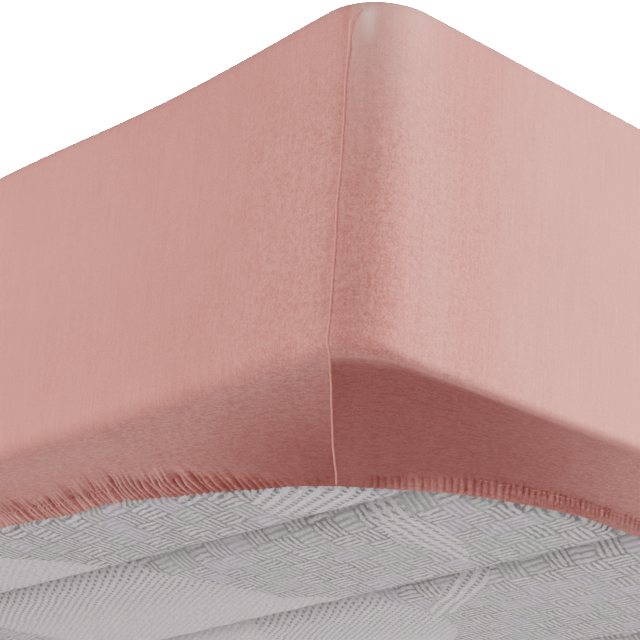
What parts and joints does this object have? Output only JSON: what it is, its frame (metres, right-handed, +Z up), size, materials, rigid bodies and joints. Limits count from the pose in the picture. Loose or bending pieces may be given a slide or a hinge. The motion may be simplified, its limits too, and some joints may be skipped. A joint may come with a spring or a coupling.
{
  "type": "fitted sheet on a mattress",
  "caption": "Stretch-knit fitted sheet drawn over a plain queen mattress, wrapped under it and gathered to an elastic hem; the bare quilted underside shows.",
  "frame": {"origin": "middle of the underside, on the surface that the mattress rests on", "axes": "+X along the length, +Y across the width, +Z up"},
  "size_m": [2.0317, 1.5222, 0.2669],
  "materials": {
    "jersey": "matt dusty-rose jersey knit",
    "ticking": "pale grey quilted jacquard ticking"
  },
  "bodies": {
    "root": {"sheet": "jersey", "mattress": "ticking"}
  },
  "joints": []
}
